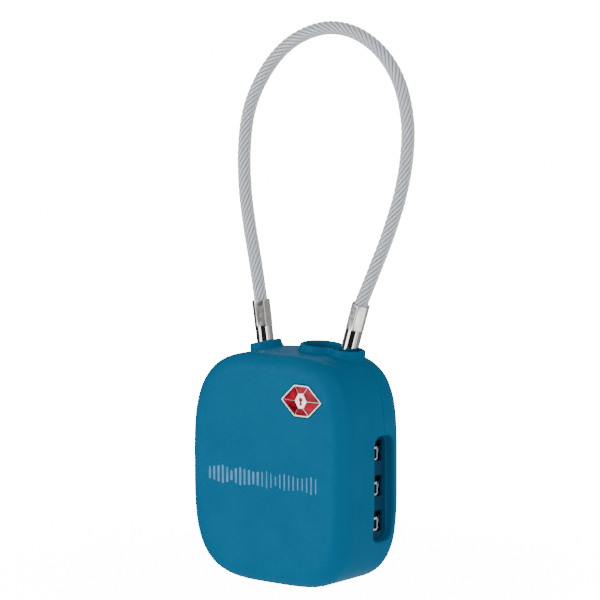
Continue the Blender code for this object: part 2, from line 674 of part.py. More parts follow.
def make_wafer(number, level, plug):
    """A flat wafer in its slot in the plug, with an opening for the key's blade."""
    half_slot = Vector((0.9 * MM, 3 * MM, 0.55 * MM))
    half_wafer = Vector((0.6 * MM, 1.1 * MM, half_slot.z - GAP))
    half_opening = Vector((0.35 * MM, 0.7 * MM, MM))
    middle = key_axis(level)
    cut(plug, make_box(f"wafer_slot_{number}", middle - half_slot, middle + half_slot))
    wafer = make_box(f"key_wafer_{number}", -half_wafer, half_wafer, "brass")
    wafer.location = middle
    cut(wafer, make_box(f"wafer_opening_{number}", middle - half_opening, middle + half_opening))


def make_key_cylinder():
    """The barrel, its plug with a keyway, three wafers and the cam under them."""
    barrel = make_rod("cylinder_barrel", key_axis(BARREL_BOTTOM), key_axis(BARREL_TOP), BARREL_RADIUS,
                      "nickel")
    cut(barrel, make_rod("barrel_bore", key_axis(BARREL_BOTTOM - MM), key_axis(BARREL_TOP + MM),
                         BARREL_BORE))
    plug_low = BARREL_BOTTOM - 0.1 * MM
    plug_high = BARREL_TOP - 0.3 * MM
    plug = make_rod("key_plug", (0, 0, plug_low), (0, 0, plug_high), PLUG_RADIUS, "brass")
    plug.location = key_axis(0)
    half_keyway = Vector((0.4 * MM, 1.4 * MM, 0.0))
    keyway_depth = plug_high - plug_low - 2 * MM
    cut(plug, make_box("keyway", key_axis(plug_high - keyway_depth) - half_keyway,
                       key_axis(plug_high + MM) + half_keyway))
    for number, level in enumerate(WAFER_LEVELS, 1):
        make_wafer(number, level, plug)
    cam_thickness, cam_reach, finger_half_width = 1.2 * MM, 3.0 * MM, 0.8 * MM
    cam_top = plug_low - GAP
    cam = make_rod("key_cam", (0, 0, cam_top - cam_thickness), (0, 0, cam_top), PLUG_RADIUS, "steel",
                   sides=24)
    cam.location = key_axis(0)
    finger_low = key_axis(cam_top - cam_thickness) - Vector((finger_half_width, cam_reach, 0.0))
    finger_high = key_axis(cam_top) + Vector((finger_half_width, 0.0, 0.0))
    join(cam, make_box("cam_finger", finger_low, finger_high))


def make_latch():
    """A flat plate square to the free ferrule's axis; its edge sits in the ferrule's neck."""
    middle = free_point(LATCH_LEVEL)
    half = LATCH_THICKNESS / 2
    low = (-1.2 * MM, LATCH_FRONT_Y, -half)
    high = (2.2 * MM, LATCH_EDGE_Y, half)
    plate = make_box("latch_plate", low, high, "steel")
    plate.location = (middle.x, 0, middle.z)
    plate.rotation_euler = (0, FREE_LEAN, 0)
    spring_seat_y = -6.7 * MM
    make_coil("latch_spring", (middle.x, LATCH_FRONT_Y - 0.4 * MM, middle.z),
              (middle.x, spring_seat_y, middle.z),
              coil_radius=1.0 * MM, wire_radius=0.14 * MM, turns=4, material="steel")


def main():
    make_sleeve()
    make_casings()
    make_badge()
    make_fixed_ferrule()
    make_free_ferrule()
    make_cable()
    for number, level in enumerate(dial_levels(), 1):
        make_dial(number, level)
        make_clutch(number, level)
    make_spindle()
    make_carrier()
    make_detent_spring()
    make_key_cylinder()
    make_latch()


main()
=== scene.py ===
"""The looks of the cable padlock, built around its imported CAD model. Units are metres, as in the CAD."""
from math import asin, atan2, cos, hypot, pi, radians, sin, sqrt, tau

import bmesh
import bpy
import numpy as np
from mathutils import Matrix, Vector
from mathutils.bvhtree import BVHTree
from mathutils.kdtree import KDTree


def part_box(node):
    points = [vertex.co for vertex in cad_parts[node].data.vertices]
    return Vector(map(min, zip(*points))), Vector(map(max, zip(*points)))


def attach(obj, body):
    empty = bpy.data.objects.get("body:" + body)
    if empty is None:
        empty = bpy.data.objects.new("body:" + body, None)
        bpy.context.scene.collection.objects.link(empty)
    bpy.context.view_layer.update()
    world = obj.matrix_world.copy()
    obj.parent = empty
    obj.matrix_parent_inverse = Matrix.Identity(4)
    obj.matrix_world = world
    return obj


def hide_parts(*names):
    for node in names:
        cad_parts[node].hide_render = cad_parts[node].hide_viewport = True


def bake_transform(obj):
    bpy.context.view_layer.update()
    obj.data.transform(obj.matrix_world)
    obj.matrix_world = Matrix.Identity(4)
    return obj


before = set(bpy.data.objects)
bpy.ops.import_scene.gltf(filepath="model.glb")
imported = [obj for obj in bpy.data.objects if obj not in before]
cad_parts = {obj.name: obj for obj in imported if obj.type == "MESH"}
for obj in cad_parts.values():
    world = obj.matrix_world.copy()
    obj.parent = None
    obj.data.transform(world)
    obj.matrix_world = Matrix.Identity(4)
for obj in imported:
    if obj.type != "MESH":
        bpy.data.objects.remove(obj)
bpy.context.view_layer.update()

MM = 0.001

# ---------------------------------------------------------------- sizes read from the frame
SLEEVE_LOW, SLEEVE_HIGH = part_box("silicone_sleeve")
CASING_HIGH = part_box("rear_casing")[1]
DIAL_LOW, DIAL_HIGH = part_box("dial_2")
BEZEL_LOW, BEZEL_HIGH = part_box("badge_bezel")
CLEARANCE = 0.3 * MM
UPPER_LEFT_POWER = 3.2
LOWER_LEFT_POWER = 3.6
RIGHT_POWER = 4.0
OUTLINE_POINTS = 40
# the CAD outline is cut into flats between its points, which lie a little inside the curve
FLAT_FACTOR = cos(pi / OUTLINE_POINTS) ** (2 / UPPER_LEFT_POWER)
FRONT_Y = SLEEVE_LOW.y
REAR_Y = SLEEVE_HIGH.y
SHELL = SLEEVE_HIGH.y - CASING_HIGH.y
HALF_WIDTH = SLEEVE_HIGH.x / FLAT_FACTOR
CENTRE_Z = (CASING_HIGH.z + SHELL) / 2
HALF_HEIGHT = CENTRE_Z / FLAT_FACTOR
FRONT_ROUNDING = 3.4 * MM
REAR_ROUNDING = 6.0 * MM
MECHANISM_Y = (DIAL_LOW.y + DIAL_HIGH.y) / 2
DIAL_X = (DIAL_LOW.x + DIAL_HIGH.x) / 2
DIAL_RADIUS = (DIAL_HIGH.y - DIAL_LOW.y) / 2

# ---------------------------------------------------------------- sizes of the finer shapes
RIM_ROUNDING = 0.38 * MM
RIM_STEPS = 6
COLLAR_FOOT = -6 * MM
BORE_FOOT = -8 * MM
BORE_TOP = 2 * MM
WAIST_CURVE = 1.0 * MM
MOUTH_ROUNDING = 0.5 * MM
RING_COLLAR_LEAN = radians(-13)
FIGURE_TURN = 0.08
PLATE_NARROWING = 0.58

# ---------------------------------------------------------------- sizes repeated from the CAD
FIXED_FOOT = Vector((-9.85, 2.5, 45.2)) * MM
FIXED_LEAN = radians(-8)
FIXED_STEP = 3.0 * MM
FIXED_TOP = 8.2 * MM
FREE_FOOT = Vector((10.65, 2.5, 45.2)) * MM
FREE_LEAN = radians(17.5)
FREE_STEP = 4.4 * MM
FREE_TOP = 9.5 * MM
SHANK_RADIUS = 1.7 * MM
CABLE_RADIUS = 1.38 * MM
CABLE_GAP = 0.3 * MM
CABLE_ROUTE = (
    (-12.15, 60.0), (-13.75, 68.0), (-14.75, 75.0), (-14.9, 82.5), (-13.8, 89.7), (-10.85, 96.0),
    (-6.0, 101.7), (-0.1, 105.3), (6.5, 106.8), (12.95, 105.7), (18.5, 102.3), (22.5, 97.0),
    (24.4, 90.2), (24.35, 83.5), (22.85, 76.0), (20.0, 68.2), (16.7, 61.0),
)
SLOT_WIDTH = 6.1 * MM
SLOT_HEIGHT = 20.4 * MM
SLOT_MIDDLE_Z = 19.1 * MM
SLOT_CORNER = 2.0 * MM
KEY_COLLAR_TOP = Vector((4.1, 2.5, 45.9)) * MM
KEY_COLLAR_RADIUS = 4.3 * MM
SOCKET_COLLAR_TOP = Vector((10.3, 2.5, 45.44)) * MM
SOCKET_COLLAR_RADIUS = 3.45 * MM
RING_COLLAR_RADIUS = 3.15 * MM
COLLAR_LEAN = radians(4.2)
COLLAR_WALL = 0.85 * MM
BADGE_HALF_WIDTH = 5.0 * MM
BADGE_HALF_HEIGHT = 3.1 * MM
BADGE_HALF_TOP = 1.7 * MM
BADGE_RIM = 0.4 * MM
WHEEL_BORE = 3.4 * MM  # as wide as the CAD wheel's notches, so the clutch's lugs clear it


# ---------------------------------------------------------------- camera
def make_camera():
    """A long lens in front of the lock, a little above it and to the side with the number wheels."""
    azimuth, elevation, roll = radians(38.0), radians(7.32), radians(-0.2)
    target = Vector((1.3, -0.8, 54.5)) * MM
    distance = 657.4 * MM
    back = Vector((sin(azimuth) * cos(elevation), -cos(azimuth) * cos(elevation), sin(elevation)))
    data = bpy.data.cameras.new("camera")
    data.sensor_width = 36
    data.lens = 205.1
    data.clip_start = 0.05
    data.clip_end = 60
    camera = bpy.data.objects.new("camera", data)
    bpy.context.scene.collection.objects.link(camera)
    camera.location = target + back * distance
    camera.rotation_mode = "QUATERNION"
    rolled = Matrix.Rotation(roll, 3, "Z").to_quaternion()
    camera.rotation_quaternion = (-back).to_track_quat("-Z", "Y") @ rolled
    bpy.context.scene.camera = camera


make_camera()


# ---------------------------------------------------------------- small helpers
def link(name, mesh, material, smooth_angle=radians(40)):
    """A new object for a mesh, shaded smooth on its round faces."""
    mesh.shade_smooth()
    mesh.set_sharp_from_angle(angle=smooth_angle)
    item = bpy.data.objects.new(name, mesh)
    bpy.context.scene.collection.objects.link(item)
    if material is not None:
        mesh.materials.append(material)
    return item


def from_shape(name, shape, material, smooth_angle=radians(40)):
    bmesh.ops.recalc_face_normals(shape, faces=shape.faces)
    mesh = bpy.data.meshes.new(name)
    shape.to_mesh(mesh)
    shape.free()
    return link(name, mesh, material, smooth_angle)


def loft(shape, rings, closed_ends=True):
    """Faces between rings of points, with a flat cap on each end."""
    made = [[shape.verts.new(point) for point in ring] for ring in rings]
    for first, second in zip(made, made[1:]):
        join_rings(shape, first, second)
    if closed_ends:
        shape.faces.new(made[0])
        shape.faces.new(made[-1])
    return made


def join_rings(shape, first, second):
    """Faces between two rings of vertices."""
    count = len(first)
    for index in range(count):
        following = (index + 1) % count
        shape.faces.new((first[index], first[following], second[following], second[index]))


def lean_matrix(foot, lean):
    return Matrix.Translation(foot) @ Matrix.Rotation(lean, 4, "Y")


def turned(name, profile, place, material, steps=64):
    """A closed turned piece: (radius, height) pairs along its outline, spun about the local Z axis."""
    shape = bmesh.new()
    rings = []
    for radius, height in profile:
        ring = []
        for index in range(steps):
            angle = tau * index / steps
            ring.append(place @ Vector((radius * cos(angle), radius * sin(angle), height)))
        rings.append(ring)
    loft(shape, rings)
    return from_shape(name, shape, material)


def apply_modifiers(item):
    graph = bpy.context.evaluated_depsgraph_get()
    mesh = bpy.data.meshes.new_from_object(item.evaluated_get(graph))
    old = item.data
    item.modifiers.clear()
    item.data = mesh
    bpy.data.meshes.remove(old)


def combine(item, tools, operation):
    """A Boolean with each tool in turn, applied; the tools are then removed."""
    for tool in tools:
        step = item.modifiers.new(operation.lower(), "BOOLEAN")
        step.operation = operation
        step.solver = "EXACT"
        step.object = tool
    apply_modifiers(item)
    for tool in tools:
        bpy.data.objects.remove(tool)


def along_axis(foot, lean, distance):
    return foot + Vector((sin(lean), 0.0, cos(lean))) * distance


def quarter_angles(steps):
    """Angles from nought to a quarter turn, in even steps."""
    return [pi / 2 * step / steps for step in range(steps + 1)]


# ---------------------------------------------------------------- materials
class Finish:
    """A Principled material with short ways to add texture nodes to it."""

    def __init__(self, name, color, roughness, metallic=0.0, **sockets):
        self.material = bpy.data.materials.new(name)
        self.material.use_nodes = True
        self.nodes = self.material.node_tree.nodes
        self.links = self.material.node_tree.links
        self.shader = self.nodes["Principled BSDF"]
        self.set("Base Color", (*color, 1.0))
        self.set("Roughness", roughness)
        self.set("Metallic", metallic)
        for socket, value in sockets.items():
            self.set(socket.replace("_", " "), value)

    def set(self, socket, value):
        self.shader.inputs[socket].default_value = value

    def coordinates(self, stretch=(1, 1, 1)):
        """Object coordinates, stretched along each axis."""
        source = self.nodes.new("ShaderNodeTexCoord")
        mapping = self.nodes.new("ShaderNodeMapping")
        mapping.inputs["Scale"].default_value = stretch
        self.links.new(source.outputs["Object"], mapping.inputs["Vector"])
        return mapping.outputs["Vector"]

    def attribute(self, name):
        """A value stored on the mesh's points."""
        node = self.nodes.new("ShaderNodeAttribute")
        node.attribute_name = name
        return node.outputs["Fac"]

    def noise(self, size, detail=3.0, stretch=(1, 1, 1)):
        """Noise whose features are about this size, in metres."""
        node = self.nodes.new("ShaderNodeTexNoise")
        node.inputs["Scale"].default_value = 1 / size
        node.inputs["Detail"].default_value = detail
        self.links.new(self.coordinates(stretch), node.inputs["Vector"])
        return node.outputs["Fac"]

    def ridge(self, y, half_width):
        """A value that rises to one along the plane at this y, and is nought a half width from it."""
        split = self.nodes.new("ShaderNodeSeparateXYZ")
        self.links.new(self.coordinates(), split.inputs["Vector"])
        node = self.nodes.new("ShaderNodeMapRange")
        node.inputs["From Min"].default_value = half_width
        node.inputs["From Max"].default_value = 0.0
        gap = self.nodes.new("ShaderNodeMath")
        gap.operation = "SUBTRACT"
        gap.inputs[1].default_value = y
        size = self.nodes.new("ShaderNodeMath")
        size.operation = "ABSOLUTE"
        self.links.new(split.outputs["Y"], gap.inputs[0])
        self.links.new(gap.outputs["Value"], size.inputs[0])
        self.links.new(size.outputs["Value"], node.inputs["Value"])
        return node.outputs["Result"]

    def spread(self, value, low, high):
        """The value's middle range, stretched to run from low to high."""
        node = self.nodes.new("ShaderNodeMapRange")
        node.inputs["From Min"].default_value = 0.3
        node.inputs["From Max"].default_value = 0.7
        node.inputs["To Min"].default_value = low
        node.inputs["To Max"].default_value = high
        self.links.new(value, node.inputs["Value"])
        return node.outputs["Result"]

    def vary_roughness(self, value, low, high):
        self.links.new(self.spread(value, low, high), self.shader.inputs["Roughness"])

    def vary_color(self, value, first, second):
        mix = self.nodes.new("ShaderNodeMix")
        mix.data_type = "RGBA"
        mix.inputs[6].default_value = (*first, 1.0)
        mix.inputs[7].default_value = (*second, 1.0)
        self.links.new(self.spread(value, 0.0, 1.0), mix.inputs[0])
        self.links.new(mix.outputs[2], self.shader.inputs["Base Color"])

    def bump(self, value, height, strength=1.0):
        node = self.nodes.new("ShaderNodeBump")
        node.inputs["Strength"].default_value = strength
        node.inputs["Distance"].default_value = height
        self.links.new(value, node.inputs["Height"])
        if self.shader.inputs["Normal"].is_linked:
            self.links.new(self.shader.inputs["Normal"].links[0].from_socket, node.inputs["Normal"])
        self.links.new(node.outputs["Normal"], self.shader.inputs["Normal"])


def silicone_material():
    """Soft-touch teal silicone: satin and finely grained, with a moulding line in the wheels' plane."""
    finish = Finish("silicone", (0.0012, 0.145, 0.300), 0.50, Specular_IOR_Level=0.06)
    finish.vary_color(finish.noise(6 * MM), (0.0010, 0.139, 0.290), (0.0014, 0.151, 0.310))
    finish.vary_roughness(finish.noise(2.5 * MM, 5.0), 0.46, 0.54)
    finish.bump(finish.noise(0.25 * MM, 2.0), 0.010 * MM)
    finish.bump(finish.ridge(MECHANISM_Y, 0.12 * MM), 0.09 * MM)
    return finish.material


def casing_material():
    """Dark teal moulded plastic, made darker still in its colour as painted shade for the recess of the
    side slot, with a fine spark-eroded grain.
    """
    # colour partly the plastic's own dark teal, partly painted shade for the inside of the side slot
    finish = Finish("casing_plastic", (0.007, 0.060, 0.125), 0.50, Specular_IOR_Level=0.15)
    finish.vary_color(finish.noise(4 * MM), (0.006, 0.054, 0.115), (0.008, 0.066, 0.135))
    finish.vary_roughness(finish.noise(0.8 * MM, 4.0), 0.44, 0.58)
    finish.bump(finish.noise(0.18 * MM, 2.0), 0.008 * MM)
    return finish.material


def wheel_material():
    finish = Finish("wheel_plastic", (0.004, 0.006, 0.009), 0.40, Specular_IOR_Level=0.15)
    finish.vary_roughness(finish.noise(0.7 * MM, 4.0), 0.32, 0.48)
    finish.bump(finish.noise(0.2 * MM, 2.0), 0.006 * MM)
    return finish.material


def figure_material():
    finish = Finish("figure_paint", (0.76, 0.85, 1.00), 0.5, Specular_IOR_Level=0.3)
    finish.vary_color(finish.noise(0.5 * MM, 4.0), (0.72, 0.81, 0.96), (0.80, 0.89, 1.00))
    finish.bump(finish.noise(0.12 * MM, 2.0), 0.004 * MM)
    return finish.material


def plated_material(name, roughness_low, roughness_high, color=(0.72, 0.71, 0.70)):
    """Nickel plate: faint drawn lines along Z and small changes of polish."""
    finish = Finish(name, color, roughness_low, 1.0)
    finish.vary_roughness(finish.noise(0.5 * MM, 5.0), roughness_low, roughness_high)
    finish.bump(finish.noise(0.10 * MM, 3.0, (1, 1, 0.08)), 0.002 * MM)
    return finish.material


def crimp_material():
    """The pressed part of a ferrule: satin, with the marks of the crimping tool."""
    finish = Finish("crimped_nickel", (0.80, 0.78, 0.75), 0.3, 1.0)
    finish.vary_color(finish.noise(1.6 * MM, 4.0), (0.70, 0.67, 0.63), (0.90, 0.89, 0.88))
    finish.vary_roughness(finish.noise(0.7 * MM, 5.0), 0.26, 0.40)
    finish.bump(finish.noise(1.2 * MM, 4.0, (1, 1, 0.25)), 0.03 * MM, 0.35)
    return finish.material


def steel_material(name="plain_steel", color=(0.50, 0.51, 0.53)):
    finish = Finish(name, color, 0.3, 1.0)
    finish.vary_roughness(finish.noise(0.8 * MM, 5.0), 0.24, 0.40)
    finish.bump(finish.noise(0.12 * MM, 3.0, (1, 1, 0.1)), 0.003 * MM)
    return finish.material


def brass_material():
    return steel_material("key_brass", (0.66, 0.47, 0.18))


def strand_material():
    """Bright steel wire, with painted shade darkening the grooves between the strands."""
    finish = Finish("steel_strand", (0.84, 0.89, 0.97), 0.40, 0.12)
    # painted shade: the colour runs from dark in the grooves between strands to bright on their crowns
    finish.vary_color(finish.attribute("crown"), (0.14, 0.18, 0.30), (0.94, 0.97, 1.00))
    finish.vary_roughness(finish.noise(0.4 * MM, 4.0), 0.32, 0.48)
    finish.bump(finish.noise(0.15 * MM, 3.0), 0.01 * MM)
    return finish.material


def jacket_material():
    """The clear coat over the wires: glossy, thin and a little milky."""
    finish = Finish("clear_coat", (0.84, 0.91, 1.00), 0.14, IOR=1.45, Alpha=0.22)
    finish.vary_roughness(finish.noise(1.5 * MM, 3.0), 0.10, 0.18)
    finish.bump(finish.noise(1.2 * MM, 2.0), 0.010 * MM)
    return finish.material


def enamel_material():
    """Red enamel, deeper in some places than in others, under a thin gloss."""
    finish = Finish("red_enamel", (0.45, 0.006, 0.022), 0.25, Specular_IOR_Level=0.08)
    finish.vary_color(finish.noise(1.8 * MM, 2.0), (0.16, 0.001, 0.006), (0.62, 0.006, 0.034))
    finish.bump(finish.noise(1.0 * MM, 2.0), 0.02 * MM)
    finish.set("Coat Weight", 0.06)
    finish.set("Coat Roughness", 0.10)
    return finish.material


def ink_material():
    """Silver-blue pad print on the silicone, thin in places."""
    finish = Finish("silver_ink", (0.10, 0.34, 0.62), 0.45, Specular_IOR_Level=0.15)
    finish.vary_color(finish.noise(2.5 * MM, 4.0), (0.04, 0.28, 0.54), (0.18, 0.40, 0.68))
    finish.bump(finish.noise(0.1 * MM, 2.0), 0.003 * MM)
    return finish.material


# ---------------------------------------------------------------- cable
def smooth_route(samples):
    """Points along a smooth curve from one ferrule's end to the other's, and a little way into each."""
    first = along_axis(FIXED_FOOT, FIXED_LEAN, FIXED_TOP + CABLE_GAP)
    last = along_axis(FREE_FOOT, FREE_LEAN, FREE_TOP + CABLE_GAP)
    route = [first] + [Vector((x * MM, MECHANISM_Y, z * MM)) for x, z in CABLE_ROUTE] + [last]
    padded = [2 * route[0] - route[1]] + route + [2 * route[-1] - route[-2]]
    points = []
    for share in np.linspace(0, len(route) - 1, samples):
        segment = min(int(share), len(route) - 2)
        t = share - segment
        a, b, c, d = padded[segment:segment + 4]
        points.append(0.5 * (2 * b + (c - a) * t + (2 * a - 5 * b + 4 * c - d) * t ** 2
                             + (3 * b - a - 3 * c + d) * t ** 3))
    held = 1.0 * MM
    inside_first = [along_axis(FIXED_FOOT, FIXED_LEAN, FIXED_TOP - depth) for depth in (held, held / 2)]
    inside_last = [along_axis(FREE_FOOT, FREE_LEAN, FREE_TOP - depth) for depth in (held / 2, held)]
    return inside_first + points + inside_last


def travelled(points):
    """The distance along the route at each of its points."""
    steps = [0.0] + [(b - a).length for a, b in zip(points, points[1:])]
    return list(np.cumsum(steps))


def frames_along(points):
    """At each point: the direction across the loop, in its plane, and the direction out of its plane."""
    frames = []
    for index in range(len(points)):
        before = points[max(index - 1, 0)]
        after = points[min(index + 1, len(points) - 1)]
        tangent = (after - before).normalized()
        out_of_plane = Vector((0, 1, 0))
        frames.append((out_of_plane.cross(tangent).normalized(), out_of_plane))
    return frames


def swept_rings(points, frames, radius, sides, centre=lambda index: (0.0, 0.0)):
    """Rings of points round a route; centre gives each ring's offset across the loop and out of it."""
    rings = []
    for index, (point, (across, out)) in enumerate(zip(points, frames)):
        off_across, off_out = centre(index)
        ring = []
        for side in range(sides):
            angle = tau * side / sides
            ring.append(point + across * (off_across + radius * cos(angle))
                        + out * (off_out + radius * sin(angle)))
        rings.append(ring)
    return rings


def mark_crowns(mesh, points, groove, crown):
    """Store how far out each point lies: nought in the grooves between strands, one on their crowns."""
    tree = KDTree(len(points))
    for index, point in enumerate(points):
        tree.insert(point, index)
    tree.balance()
    reach = np.array([tree.find(vertex.co)[2] for vertex in mesh.vertices])
    values = mesh.attributes.new("crown", "FLOAT", "POINT")
    values.data.foreach_set("value", np.clip((reach - groove) / (crown - groove), 0, 1))


def make_cable():
    """Nine twisted strands round a core, under a clear coat that follows the CAD cable's route."""
    points = smooth_route(520)
    distance = travelled(points)
    frames = frames_along(points)
    strand_count = 9
    lay = 12 * MM
    strand_radius = 0.33 * MM
    lay_radius = 0.97 * MM
    shape = bmesh.new()
    for strand in range(strand_count):
        def centre(index):
            angle = tau * (strand / strand_count + distance[index] / lay)
            return lay_radius * cos(angle), lay_radius * sin(angle)
        loft(shape, swept_rings(points, frames, strand_radius, 10, centre))
    loft(shape, swept_rings(points, frames, lay_radius - strand_radius, 12))
    strands = from_shape("steel_strands", shape, strand_material(), radians(60))
    # these crown values drive the painted shade in the strands' grooves
    mark_crowns(strands.data, points, lay_radius - 0.03 * MM, lay_radius + strand_radius)
    shape = bmesh.new()
    coarse = slice(None, None, 3)
    loft(shape, swept_rings(points[coarse] + [points[-1]], frames[coarse] + [frames[-1]], CABLE_RADIUS, 28))
    jacket = from_shape("cable_coat", shape, jacket_material())
    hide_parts("cable")
    for piece in (strands, jacket):
        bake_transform(piece)
    return jacket, strands, points, distance[-1]


# ---------------------------------------------------------------- ferrules
def hexagon_reach(angle, apothem):
    """Distance from the middle of a hexagon to its side, in a given direction."""
    step = pi / 3
    return apothem / cos((angle + step / 2) % step - step / 2)


def make_crimp(name, foot, lean, step, top, turn):
    """The part pressed on the cable: round at its two ends, and pressed to a hexagon between them."""
    sides = 96
    round_radius = 1.85 * MM
    apothem = 1.60 * MM
    corner = 1.89 * MM
    bore = CABLE_RADIUS + 0.04 * MM
    rounding = 0.12 * MM
    length = top - step
    place = lean_matrix(foot, lean)
    rings = []

    def ring_at(height, inset, pressed):
        ring = []
        for index in range(sides):
            angle = tau * index / sides
            hexagonal = min(hexagon_reach(angle + turn, apothem), corner)
            radius = round_radius * (1 - pressed) + hexagonal * pressed - inset
            ring.append(place @ Vector((radius * cos(angle), radius * sin(angle), height)))
        rings.append(ring)

    def bore_ring(height, radius):
        rings.append([place @ Vector((radius * cos(tau * i / sides), radius * sin(tau * i / sides), height))
                      for i in range(sides)])

    ring_at(step, 0.45 * MM, 0.6)
    for angle in quarter_angles(4):
        ring_at(step + rounding * (1 - cos(angle)), rounding * (1 - sin(angle)), 0.6)
    for share in np.linspace(0.08, 0.90, 14):
        pressed = 0.6 + 0.4 * min(1.0, share / 0.2)
        pressed *= 1 - 0.25 * max(0.0, (share - 0.8) / 0.1) ** 2
        ring_at(step + length * share, 0.0, pressed)
    for angle in quarter_angles(4):
        ring_at(top - rounding * (1 - sin(angle)), rounding * (1 - cos(angle)), 0.7)
    bore_ring(top - 0.02 * MM, bore + 0.25 * MM)
    bore_ring(top - 0.70 * MM, bore)
    bore_ring(top - 1.20 * MM, bore)
    shape = bmesh.new()
    loft(shape, rings)
    return from_shape(name, shape, crimp_material(), radians(50))


def arc_profile(radius, height_from, height_to, rounding, steps=4):
    """A shank's outline down to a rounded lower edge."""
    profile = [(radius, height_from), (radius, height_to + rounding)]
    for angle in quarter_angles(steps)[1:]:
        profile.append((radius - rounding * (1 - cos(angle)), height_to + rounding * (1 - sin(angle))))
    return profile


def make_fixed_ferrule():
    top, end = FIXED_STEP + 0.3 * MM, -8.0 * MM
    profile = [(0.2 * MM, top), (SHANK_RADIUS - 0.05 * MM, top)]
    profile += arc_profile(SHANK_RADIUS, FIXED_STEP - 0.1 * MM, end, 0.3 * MM)
    profile += [(0.2 * MM, end)]
    shank = turned("fixed_shank", profile, lean_matrix(FIXED_FOOT, FIXED_LEAN),
                   plated_material("fixed_nickel", 0.06, 0.12))
    crimp = make_crimp("fixed_crimp", FIXED_FOOT, FIXED_LEAN, FIXED_STEP, FIXED_TOP, radians(6))
    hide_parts("fixed_ferrule")
    for piece in (shank, crimp):
        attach(piece, "lock_body")
    return shank, crimp


def make_free_ferrule():
    top = FREE_STEP + 0.3 * MM
    neck_top, neck_bottom, widest, end = -6.2 * MM, -7.6 * MM, -9.6 * MM, -9.9 * MM
    neck = 1.1 * MM
    profile = [(0.2 * MM, top), (SHANK_RADIUS - 0.05 * MM, top), (SHANK_RADIUS, FREE_STEP - 0.1 * MM),
               (SHANK_RADIUS, neck_top + 0.15 * MM), (SHANK_RADIUS - 0.15 * MM, neck_top), (neck, neck_top),
               (neck, neck_bottom), (SHANK_RADIUS - 0.05 * MM, widest + 0.1 * MM),
               (SHANK_RADIUS - 0.05 * MM, widest),
               (0.95 * MM, end + 0.1 * MM), (0.8 * MM, end), (0.2 * MM, end)]
    shank = turned("free_shank", profile, lean_matrix(FREE_FOOT, FREE_LEAN),
                   plated_material("free_nickel", 0.06, 0.12))
    crimp = make_crimp("free_crimp", FREE_FOOT, FREE_LEAN, FREE_STEP, FREE_TOP, radians(-21))
    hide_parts("free_ferrule")
    for piece in (shank, crimp):
        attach(piece, "free_end")
    return shank, crimp


# ---------------------------------------------------------------- sleeve
def corner_power(angle):
    """How square the outline is: the right corners are the squarest, the upper left one the roundest."""
    if cos(angle) > 0:
        return RIGHT_POWER
    return UPPER_LEFT_POWER if sin(angle) > 0 else LOWER_LEFT_POWER


def body_ring(inset, y, points):
    """The body's outline at one depth, smaller all round by the inset."""
    ring = []
    for index in range(points):
        angle = tau * (index + 0.5) / points
        power = corner_power(angle)
        across = abs(cos(angle)) ** (2 / power) * (1 if cos(angle) > 0 else -1)
        up = abs(sin(angle)) ** (2 / power) * (1 if sin(angle) > 0 else -1)
        ring.append(Vector(((HALF_WIDTH - inset) * across, y, CENTRE_Z + (HALF_HEIGHT - inset) * up)))
    return ring


def body_form(name, inset, points, steps):
    """The lock's rounded outer form, smaller all round by the inset."""
    front = max(FRONT_ROUNDING - inset, 0.2 * MM)
    rear = max(REAR_ROUNDING - inset, 0.2 * MM)
    rings = []
    flat_rings = (0.25, 0.5, 0.75, 0.9)
    for share in flat_rings:
        rings.append(body_ring(HALF_WIDTH - (HALF_WIDTH - inset - front) * share, FRONT_Y + inset, points))
    for angle in quarter_angles(steps):
        rings.append(body_ring(inset + front * (1 - sin(angle)),
                               FRONT_Y + inset + front * (1 - cos(angle)), points))
    for angle in reversed(quarter_angles(steps)):
        rings.append(body_ring(inset + rear * (1 - sin(angle)),
                               REAR_Y - inset - rear * (1 - cos(angle)), points))
    for share in reversed(flat_rings):
        rings.append(body_ring(HALF_WIDTH - (HALF_WIDTH - inset - rear) * share, REAR_Y - inset, points))
    shape = bmesh.new()
    loft(shape, rings)
    return from_shape(name, shape, None)


def collar_form(name, top, lean, radius):
    """The ring collar's outside: a soft rim and a straight wall."""
    profile = [(0.3 * MM, 0.0)]
    for angle in quarter_angles(RIM_STEPS):
        profile.append((radius - RIM_ROUNDING * (1 - sin(angle)), -RIM_ROUNDING * (1 - cos(angle))))
    profile += [(radius + 0.10 * MM, -1.1 * MM), (radius + 0.25 * MM, COLLAR_FOOT), (0.3 * MM, COLLAR_FOOT)]
    return turned(name, profile, lean_matrix(top, lean), None, 72)


def arc_points(centre, radius, start, end, steps):
    return [(centre[0] + radius * cos(angle), centre[1] + radius * sin(angle))
            for angle in np.linspace(start, end, steps)]


def pair_outline(inset):
    """The outline round the key and socket collars: two arcs joined by a hollow curve on each side."""
    apart = (SOCKET_COLLAR_TOP - KEY_COLLAR_TOP).length
    waist = WAIST_CURVE
    to_key = KEY_COLLAR_RADIUS + waist
    to_socket = SOCKET_COLLAR_RADIUS + waist
    waist_x = (apart ** 2 + to_key ** 2 - to_socket ** 2) / (2 * apart)
    waist_y = sqrt(to_key ** 2 - waist_x ** 2)
    from_key = atan2(waist_y, waist_x)
    from_socket = atan2(waist_y, apart - waist_x)
    steps, waist_steps = 60, 16
    outline = arc_points((0, 0), KEY_COLLAR_RADIUS - inset, from_key, tau - from_key, steps)
    outline += arc_points((waist_x, -waist_y), waist + inset, pi - from_key, from_socket, waist_steps)[1:-1]
    outline += arc_points((apart, 0), SOCKET_COLLAR_RADIUS - inset,
                          from_socket - pi, pi - from_socket, steps)
    outline += arc_points((waist_x, waist_y), waist + inset, -from_socket, from_key - pi, waist_steps)[1:-1]
    return outline


def pair_form(name, sections):
    """A solid on the shared outline: (inset, height) pairs from its foot to its top."""
    place = lean_matrix(KEY_COLLAR_TOP, COLLAR_LEAN)
    shape = bmesh.new()
    loft(shape, [[place @ Vector((x, y, height)) for x, y in pair_outline(inset)]
                 for inset, height in sections])
    return from_shape(name, shape, None)


